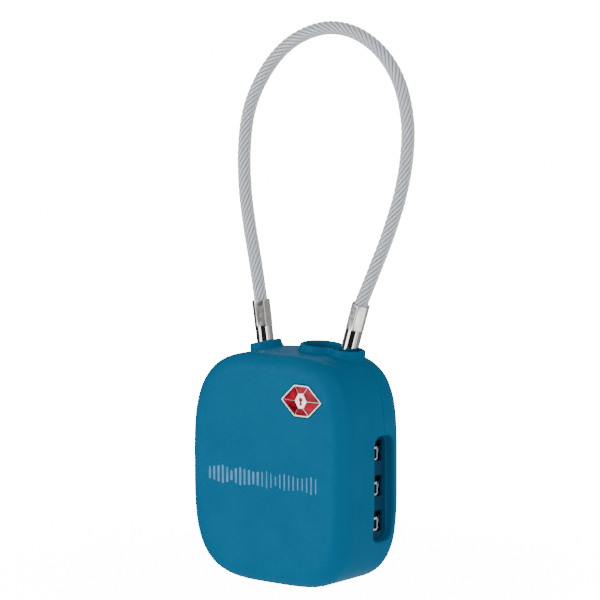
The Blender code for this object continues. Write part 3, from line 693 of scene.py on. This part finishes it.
def pair_collar():
    """The key and socket collars' outside, down to a foot inside the sleeve."""
    sections = [(-0.15 * MM, COLLAR_FOOT), (-0.08 * MM, -1.1 * MM)]
    for angle in quarter_angles(RIM_STEPS):
        sections.append((RIM_ROUNDING * (1 - cos(angle)), -RIM_ROUNDING * (1 - sin(angle))))
    return pair_form("pair_collar", sections)


def pair_bore():
    """What is cut out inside the key and socket collars, with a rounded inner rim."""
    sections = [(COLLAR_WALL, BORE_FOOT)]
    for angle in quarter_angles(RIM_STEPS):
        sections.append((COLLAR_WALL - RIM_ROUNDING * (1 - cos(angle)), -RIM_ROUNDING * (1 - sin(angle))))
    sections.append((COLLAR_WALL - RIM_ROUNDING, BORE_TOP))
    return pair_form("pair_bore", sections)


def rod(name, start, end, radius, sides=64):
    shape = bmesh.new()
    along = Vector(end) - Vector(start)
    turn = along.to_track_quat("Z", "Y").to_matrix().to_4x4()
    place = Matrix.Translation((Vector(start) + Vector(end)) / 2) @ turn
    bmesh.ops.create_cone(shape, cap_ends=True, segments=sides, radius1=radius, radius2=radius,
                          depth=along.length, matrix=place)
    return from_shape(name, shape, None)


def side_x(z):
    """How far out the sleeve's side is at a given height."""
    return HALF_WIDTH * (1 - abs((z - CENTRE_Z) / HALF_HEIGHT) ** RIGHT_POWER) ** (1 / RIGHT_POWER)


def slot_outline(growth, corner_steps=10, side_steps=12):
    """The side slot's rounded outline, larger all round by the growth, with points along its tall sides."""
    half_y = SLOT_WIDTH / 2 + growth
    half_z = SLOT_HEIGHT / 2 + growth
    corner = SLOT_CORNER + growth
    outline = []
    for quarter in range(4):
        sign_y = 1 if quarter in (0, 3) else -1
        sign_z = 1 if quarter in (0, 1) else -1
        if quarter in (0, 2):
            side_y = MECHANISM_Y + sign_y * half_y
            outline += [(side_y, SLOT_MIDDLE_Z + sign_z * (half_z - corner) * share)
                        for share in np.linspace(-1, 1, side_steps)[1:-1]]
        for step in range(corner_steps + 1):
            angle = pi / 2 * (quarter + step / corner_steps)
            outline.append((MECHANISM_Y + sign_y * (half_y - corner) + corner * cos(angle),
                            SLOT_MIDDLE_Z + sign_z * (half_z - corner) + corner * sin(angle)))
    return outline


def slot_form(name):
    """The window in the sleeve's side: close round the casing's pad, wider above it, with a soft mouth."""
    pad_x = SLEEVE_HIGH.x - SHELL
    shape = bmesh.new()
    rings = [[Vector((x, y, z)) for y, z in slot_outline(growth)]
             for x, growth in ((pad_x - 4 * MM, -0.24 * MM), (pad_x + 0.05 * MM, -0.24 * MM),
                               (pad_x + 0.12 * MM, 0.0))]
    for angle in quarter_angles(7):
        depth = MOUTH_ROUNDING * (1 - sin(angle))
        growth = MOUTH_ROUNDING * (1 - cos(angle))
        rings.append([Vector((side_x(z) - depth, y, z)) for y, z in slot_outline(growth)])
    rings.append([Vector((HALF_WIDTH + 2 * MM, y, z)) for y, z in slot_outline(MOUTH_ROUNDING)])
    loft(shape, rings)
    return from_shape(name, shape, None)


def badge_ring(growth, y, corner=0.35 * MM, corner_steps=5, narrowing=1.0):
    """The badge's hexagonal outline at one depth, larger all round by the growth, with rounded corners."""
    middle = (BEZEL_LOW + BEZEL_HIGH) / 2
    side_run = BADGE_HALF_WIDTH - BADGE_HALF_TOP
    side_length = hypot(side_run, BADGE_HALF_HEIGHT)
    top = BADGE_HALF_HEIGHT + growth
    tip = BADGE_HALF_WIDTH + growth * side_length / BADGE_HALF_HEIGHT
    high = tip - top * side_run / BADGE_HALF_HEIGHT
    corners = [Vector(place) for place in ((tip, 0), (high, top), (-high, top),
                                           (-tip, 0), (-high, -top), (high, -top))]
    ring = []
    for index, here in enumerate(corners):
        before = here + (corners[index - 1] - here).normalized() * corner
        after = here + (corners[(index + 1) % 6] - here).normalized() * corner
        for share in np.linspace(0, 1, corner_steps):
            place = before.lerp(here, share).lerp(here.lerp(after, share), share)
            ring.append(Vector((middle.x + place.x * narrowing, y, middle.z + place.y)))
    return ring


def settle_on(item, guide, near, far):
    """Draws points that lie close to the guide's surface onto it, and leaves the rest."""
    shape = bmesh.new()
    shape.from_mesh(guide.data)
    tree = BVHTree.FromBMesh(shape)
    shape.free()
    for vertex in item.data.vertices:
        place, _, _, gap = tree.find_nearest(vertex.co)
        share = min(1.0, max(0.0, (far - gap) / (far - near)))
        if share > 0:
            vertex.co = vertex.co.lerp(place, share * share * (3 - 2 * share))


def make_sleeve():
    """The silicone sleeve: one soft skin with collars, a side window and a seat for the badge."""
    guide = body_form("sleeve_guide", 0.0, 240, 12)
    sleeve = body_form("sleeve_skin", 0.0, 160, 10)
    ring_top = along_axis(FIXED_FOOT, FIXED_LEAN, 0.1 * MM)
    ring_collar = collar_form("ring_collar", ring_top, RING_COLLAR_LEAN, RING_COLLAR_RADIUS)
    combine(sleeve, [pair_collar(), ring_collar], "UNION")
    ring_bore = rod("ring_bore", along_axis(ring_top, FIXED_LEAN, BORE_FOOT),
                    along_axis(ring_top, FIXED_LEAN, BORE_TOP), SHANK_RADIUS + 0.06 * MM)
    reset_hole = rod("reset_hole", (DIAL_X, MECHANISM_Y, -2 * MM), (DIAL_X, MECHANISM_Y, 5 * MM), 0.8 * MM)
    shape = bmesh.new()
    loft(shape, [badge_ring(0.06 * MM, FRONT_Y - MM), badge_ring(0.06 * MM, BEZEL_HIGH.y + CLEARANCE)])
    seat = from_shape("badge_seat", shape, None)
    combine(sleeve, [pair_bore(), ring_bore, reset_hole, slot_form("slot"), seat], "DIFFERENCE")
    remesh = sleeve.modifiers.new("remesh", "REMESH")
    remesh.mode = "VOXEL"
    remesh.voxel_size = 0.22 * MM
    smooth = sleeve.modifiers.new("smooth", "SMOOTH")
    smooth.factor = 0.5
    smooth.iterations = 4
    apply_modifiers(sleeve)
    settle_on(sleeve, guide, 0.05 * MM, 0.16 * MM)
    bpy.data.objects.remove(guide)
    combine(sleeve, [body_form("hollow", SHELL - 0.06 * MM, 80, 6)], "DIFFERENCE")
    sleeve.data.materials.clear()
    sleeve.data.materials.append(silicone_material())
    sleeve.data.shade_smooth()
    sleeve.data.set_sharp_from_angle(angle=radians(60))
    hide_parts("silicone_sleeve")
    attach(sleeve, "lock_body")
    return sleeve


# ---------------------------------------------------------------- number wheels
FIGURES = {
    0: [("loop", ((0, 0), (2, 0), (2, 4), (0, 4)))],
    1: [("line", ((0.4, 3.2), (1.1, 4), (1.1, 0)))],
    2: [("line", ((0, 4), (2, 4), (2, 2), (0, 2), (0, 0), (2, 0)))],
    3: [("line", ((0, 4), (2, 4), (2, 0), (0, 0))), ("line", ((0.4, 2), (1.7, 2)))],
    4: [("line", ((0, 4), (0, 1.6), (1.7, 1.6))), ("line", ((2, 4), (2, 0)))],
    5: [("line", ((2, 4), (0, 4), (0, 2), (2, 2), (2, 0), (0, 0)))],
    6: [("loop", ((0, 0), (2, 0), (2, 2), (0, 2))), ("line", ((0, 2.3), (0, 4), (2, 4)))],
    7: [("line", ((0, 4), (2, 4), (0.8, 0)))],
    8: [("loop", ((0, 0), (2, 0), (2, 2), (0, 2))), ("line", ((0, 2.3), (0, 4), (2, 4), (2, 2.3)))],
    9: [("loop", ((0, 2), (2, 2), (2, 4), (0, 4))), ("line", ((2, 1.7), (2, 0), (0, 0)))],
}


def cut_corners(points, closed, cut):
    """Each corner of a stroke becomes two, so that it turns in two steps."""
    result = []
    for index, point in enumerate(points):
        here = Vector(point)
        if not closed and index in (0, len(points) - 1):
            result.append(here)
            continue
        before = Vector(points[index - 1])
        after = Vector(points[(index + 1) % len(points)])
        result.append(here + (before - here).normalized() * cut)
        result.append(here + (after - here).normalized() * cut)
    return result


def add_stroke(shape, points, closed, width, to_wheel):
    """A flat ribbon of even width along a stroke, laid on the wheel."""
    dense = []
    spans = list(zip(points, points[1:] + points[:1])) if closed else list(zip(points, points[1:]))
    for start, end in spans:
        pieces = max(1, round((end - start).length / (0.35 * MM)))
        dense += [start.lerp(end, step / pieces) for step in range(pieces)]
    if not closed:
        dense.append(points[-1])
    edges = []
    count = len(dense)
    for index, point in enumerate(dense):
        before = dense[index - 1] if closed or index else 2 * dense[0] - dense[1]
        after = dense[(index + 1) % count] if closed or index < count - 1 else 2 * dense[-1] - dense[-2]
        first = (point - before).normalized()
        second = (after - point).normalized()
        mitre = Vector((-first.y - second.y, first.x + second.x)).normalized()
        reach = width / 2 / max(0.5, mitre.dot(Vector((-first.y, first.x))))
        edges.append((shape.verts.new(to_wheel(point + mitre * reach)),
                      shape.verts.new(to_wheel(point - mitre * reach))))
    pairs = list(zip(edges, edges[1:]))
    if closed:
        pairs.append((edges[-1], edges[0]))
    for (a, b), (c, d) in pairs:
        shape.faces.new((a, b, d, c))


def make_figures(number, middle_z, material):
    """The ten figures printed round one wheel, low on its flats; nought faces the window."""
    shape = bmesh.new()
    figure_width, figure_height, stroke = 1.64 * MM, 2.24 * MM, 0.42 * MM
    drop = 0.62 * MM
    lift = 0.03 * MM
    for figure, strokes in FIGURES.items():
        turn = FIGURE_TURN - tau * figure / 10

        def to_wheel(point):
            angle = turn + point.x / DIAL_RADIUS
            radius = DIAL_RADIUS + lift
            return Vector((DIAL_X + radius * cos(angle), MECHANISM_Y + radius * sin(angle),
                           middle_z - drop + point.y))

        for kind, raw in strokes:
            points = [Vector(((x / 2 - 0.5) * figure_width, (y / 4 - 0.5) * figure_height)) for x, y in raw]
            closed = kind == "loop"
            add_stroke(shape, cut_corners(points, closed, 0.32 * MM), closed, stroke, to_wheel)
    item = from_shape(f"wheel_figures_{number}", shape, material)
    thick = item.modifiers.new("thick", "SOLIDIFY")
    thick.thickness = 0.03 * MM
    thick.offset = 0
    apply_modifiers(item)
    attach(item, f"number_wheel_{number}")


def make_wheel(number, material):
    """One black wheel: ten flats with a groove between each two, bevelled rims and a bore."""
    low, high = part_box(f"dial_{number}")
    sides = 200
    bore = WHEEL_BORE
    bevel = 0.25 * MM
    groove = 0.22 * MM

    def ring(height, inset, grooved):
        made = []
        for index in range(sides):
            angle = tau * index / sides
            phase = ((angle - FIGURE_TURN) / (tau / 10) + 0.5) % 1.0
            nearness = max(0.0, 1 - min(phase, 1 - phase) / 0.09)
            radius = DIAL_RADIUS - inset - (groove * nearness ** 0.8 if grooved else 0.0)
            made.append(Vector((DIAL_X + radius * cos(angle), MECHANISM_Y + radius * sin(angle), height)))
        return made

    def bore_ring(height):
        return [Vector((DIAL_X + bore * cos(tau * i / sides),
                        MECHANISM_Y + bore * sin(tau * i / sides), height))
                for i in range(sides)]

    rings = [bore_ring(low.z + 0.02 * MM), ring(low.z, bevel + groove, False),
             ring(low.z + bevel, 0.0, True)]
    rings += [ring(high.z - bevel, 0.0, True), ring(high.z, bevel + groove, False),
              bore_ring(high.z - 0.02 * MM)]
    shape = bmesh.new()
    made = loft(shape, rings, closed_ends=False)
    join_rings(shape, made[-1], made[0])
    wheel = from_shape(f"wheel_{number}", shape, material, radians(25))
    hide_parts(f"dial_{number}")
    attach(wheel, f"number_wheel_{number}")
    return (low.z + high.z) / 2


def make_wheels():
    plastic = wheel_material()
    paint = figure_material()
    for number in (1, 2, 3):
        middle_z = make_wheel(number, plastic)
        make_figures(number, middle_z, paint)


# ---------------------------------------------------------------- badge and print
def keyhole_outline():
    """A round hole with a widening foot, as (x, z) points about its middle."""
    bow, neck_half, foot_half, foot_drop, rise = 0.42 * MM, 0.17 * MM, 0.34 * MM, 0.80 * MM, 0.26 * MM
    neck = asin(neck_half / bow)
    outline = [(bow * cos(angle), rise + bow * sin(angle))
               for angle in np.linspace(neck - pi / 2, 1.5 * pi - neck, 28)]
    return outline + [(-foot_half, -foot_drop), (foot_half, -foot_drop)]


def make_badge():
    """A hexagonal badge: bright rim, six red facets and a small bright plate with a plain keyhole."""
    proud = 0.14 * MM
    rings = [badge_ring(0.0, BEZEL_HIGH.y)]
    for step in range(9):
        angle = pi * step / 8
        rings.append(badge_ring(-BADGE_RIM / 2 * (1 - cos(angle)), FRONT_Y - proud * sin(angle)))
    rings.append(badge_ring(-BADGE_RIM, BEZEL_HIGH.y))
    shape = bmesh.new()
    made = loft(shape, rings, closed_ends=False)
    join_rings(shape, made[-1], made[0])
    bezel = from_shape("badge_rim", shape, plated_material("rim_nickel", 0.28, 0.42, (0.66, 0.67, 0.72)))
    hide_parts("badge_bezel")

    edge = -BADGE_RIM - 0.02 * MM
    plate_edge = -1.65 * MM
    sharp = 0.02 * MM
    shape = bmesh.new()
    loft(shape, [badge_ring(edge, BEZEL_HIGH.y - 0.02 * MM, sharp, 2),
                 badge_ring(edge, FRONT_Y + 0.16 * MM, sharp, 2),
                 badge_ring(plate_edge, FRONT_Y - 0.10 * MM, sharp, 2, PLATE_NARROWING)])
    enamel = from_shape("badge_face", shape, enamel_material(), radians(2))
    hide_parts("badge_enamel")

    silver = plated_material("plate_nickel", 0.28, 0.42, (0.74, 0.70, 0.72))
    shape = bmesh.new()
    loft(shape, [badge_ring(plate_edge + 0.02 * MM, FRONT_Y + 0.02 * MM, sharp, 2, PLATE_NARROWING),
                 badge_ring(plate_edge + 0.02 * MM, FRONT_Y - 0.12 * MM, sharp, 2, PLATE_NARROWING),
                 badge_ring(plate_edge - 0.10 * MM, FRONT_Y - 0.16 * MM, sharp, 2, PLATE_NARROWING)])
    for inner, outer in badge_ribs(edge, plate_edge):
        add_rib(shape, inner, outer)
    plate = from_shape("badge_plate", shape, silver, radians(10))

    middle = (BEZEL_LOW + BEZEL_HIGH) / 2
    shape = bmesh.new()
    loft(shape, [[Vector((middle.x + x, y, middle.z + z)) for x, z in keyhole_outline()]
                 for y in (FRONT_Y - 0.10 * MM, FRONT_Y - 0.18 * MM)])
    keyhole = from_shape("badge_keyhole", shape, enamel.data.materials[0])
    for piece in (bezel, enamel, plate, keyhole):
        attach(piece, "lock_body")


def badge_ribs(edge, plate_edge):
    """The two ends of the bright line between each two red facets."""
    outer = badge_ring(edge, FRONT_Y + 0.15 * MM, 0.02 * MM, 3)[1::3]
    inner = badge_ring(plate_edge, FRONT_Y - 0.11 * MM, 0.02 * MM, 3, PLATE_NARROWING)[1::3]
    return zip(inner, outer)


def add_rib(shape, start, end):
    """A thin raised bar between two points of the badge."""
    half = 0.05 * MM
    along = (end - start).normalized()
    across = along.cross(Vector((0, -1, 0))).normalized() * half
    rise = Vector((0, -0.05 * MM, 0))
    rings = [[place - across, place - across * 0.5 + rise, place + across * 0.5 + rise, place + across]
             for place in (start, end)]
    loft(shape, rings)


def make_print():
    """A plain printed row of upright bars across the front, broad on the left and fine on the right."""
    shape = bmesh.new()
    bar_count = 25
    broad_count = 12
    pitch = 1.08 * MM
    middle_x, middle_z = -0.55 * MM, 20.7 * MM
    thickness = 0.02 * MM
    for index in range(bar_count):
        x = middle_x + (index - (bar_count - 1) / 2) * pitch
        half = (0.85 + 0.62 * abs(sin(index * 0.62)) + 0.12 * cos(index * 1.9)) * MM
        bar_half = (0.26 if index < broad_count else 0.15) * MM
        outline = arc_points((x, middle_z + half), bar_half, 0, pi, 9)
        outline += arc_points((x, middle_z - half), bar_half, pi, tau, 9)
        loft(shape, [[Vector((px, y, pz)) for px, pz in outline]
                     for y in (FRONT_Y + 0.01 * MM, FRONT_Y - thickness)])
    bars = from_shape("front_print", shape, ink_material())
    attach(bars, "lock_body")


# ---------------------------------------------------------------- carried-over CAD nodes
def dress_cad_nodes():
    """Every CAD node that stays visible gets a real finish."""
    steel = steel_material()
    brass = brass_material()
    finishes = {
        "front_casing": casing_material(), "cylinder_barrel": plated_material("barrel_nickel", 0.18, 0.3),
        "key_plug": brass,
    }
    finishes["rear_casing"] = finishes["front_casing"]
    for number in (1, 2, 3):
        finishes[f"clutch_{number}"] = brass
        finishes[f"key_wafer_{number}"] = brass
    for name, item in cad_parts.items():
        item.data.materials.clear()
        item.data.materials.append(finishes.get(name, steel))


# ---------------------------------------------------------------- floor and light
def hide_from(item, *rays):
    """Keeps a stage object out of some kinds of light path: camera, diffuse, glossy or shadow."""
    for ray in rays:
        setattr(item, f"visible_{ray}", False)


def make_floor():
    """A pale floor that glows a little more with distance, so that it runs into a near-white background."""
    shape = bmesh.new()
    bmesh.ops.create_circle(shape, cap_ends=True, segments=96, radius=8.0)
    finish = Finish("pale_floor", (0.90, 0.90, 0.90), 0.6)
    finish.vary_roughness(finish.noise(0.2, 3.0), 0.55, 0.65)
    distance = finish.nodes.new("ShaderNodeVectorMath")
    distance.operation = "LENGTH"
    finish.links.new(finish.coordinates(), distance.inputs[0])
    glow = finish.nodes.new("ShaderNodeMapRange")
    glow.interpolation_type = "SMOOTHSTEP"
    glow.inputs["From Min"].default_value = 0.01
    glow.inputs["From Max"].default_value = 0.30
    glow.inputs["To Min"].default_value = 15.0
    glow.inputs["To Max"].default_value = 20.0
    finish.links.new(distance.outputs["Value"], glow.inputs["Value"])
    finish.set("Emission Color", (1.0, 1.0, 1.0, 1.0))
    finish.links.new(glow.outputs["Result"], finish.shader.inputs["Emission Strength"])
    floor = from_shape("floor", shape, finish.material)
    floor.location.z = -0.05 * MM
    hide_from(floor, "diffuse", "glossy")


def make_card(name, azimuth, half_angle, glow, distance=0.45, low=-0.4, high=0.5):
    """A curved card round the lock, seen only in its reflections: dark, or glowing like a soft box."""
    shape = bmesh.new()
    rings = []
    for z in (low, high):
        ring = []
        for step in range(13):
            angle = radians(azimuth - half_angle + 2 * half_angle * step / 12)
            ring.append(shape.verts.new((distance * sin(angle), -distance * cos(angle), z)))
        rings.append(ring)
    for step in range(12):
        shape.faces.new((rings[0][step], rings[0][step + 1], rings[1][step + 1], rings[1][step]))
    finish = Finish(name, (0.0, 0.0, 0.0), 1.0, Specular_IOR_Level=0.0)
    finish.set("Emission Color", (1.0, 1.0, 1.0, 1.0))
    finish.set("Emission Strength", glow)
    card = from_shape(name, shape, finish.material)
    hide_from(card, "camera", "diffuse", "shadow")


def make_lamp(name, place, size, power, target=(0, 0, 0.05)):
    """A rectangular lamp that points at the lock."""
    data = bpy.data.lights.new(name, "AREA")
    data.shape = "RECTANGLE"
    data.size, data.size_y = size
    data.energy = power
    lamp = bpy.data.objects.new(name, data)
    bpy.context.scene.collection.objects.link(lamp)
    lamp.location = place
    lamp.rotation_euler = (Vector(target) - Vector(place)).to_track_quat("-Z", "Y").to_euler()


def make_light():
    """A white surround that falls to under half overhead, one broad lamp, and cards for the metal parts."""
    world = bpy.data.worlds.new("studio")
    bpy.context.scene.world = world
    world.use_nodes = True
    nodes, links = world.node_tree.nodes, world.node_tree.links
    background = nodes["Background"]
    background.inputs["Color"].default_value = (1.0, 1.0, 1.0, 1.0)
    direction = nodes.new("ShaderNodeTexCoord")
    split = nodes.new("ShaderNodeSeparateXYZ")
    fade = nodes.new("ShaderNodeMapRange")
    fade.inputs["To Min"].default_value = 0.98
    fade.inputs["To Max"].default_value = 0.46
    links.new(direction.outputs["Generated"], split.inputs["Vector"])
    links.new(split.outputs["Z"], fade.inputs["Value"])
    links.new(fade.outputs["Result"], background.inputs["Strength"])
    make_lamp("key_light", (-0.5, -0.95, 0.45), (0.6, 0.6), 3.0)
    # each card: middle azimuth, half angle and glow
    cards = (("front_flag", 24, 33, 0.02), ("left_soft_box", -25, 14, 4.5), ("left_flag", -90, 50, 0.05),
             ("right_soft_box", 66, 7, 4.0), ("right_flag", 152, 42, 0.30))
    for name, azimuth, half_angle, glow in cards:
        make_card(name, azimuth, half_angle, glow)


# ---------------------------------------------------------------- build
coat, strands, cable_points, cable_length = make_cable()
fixed_shank, fixed_crimp = make_fixed_ferrule()
free_shank, free_crimp = make_free_ferrule()
make_sleeve()
make_wheels()
make_badge()
make_print()
dress_cad_nodes()
make_floor()
make_light()
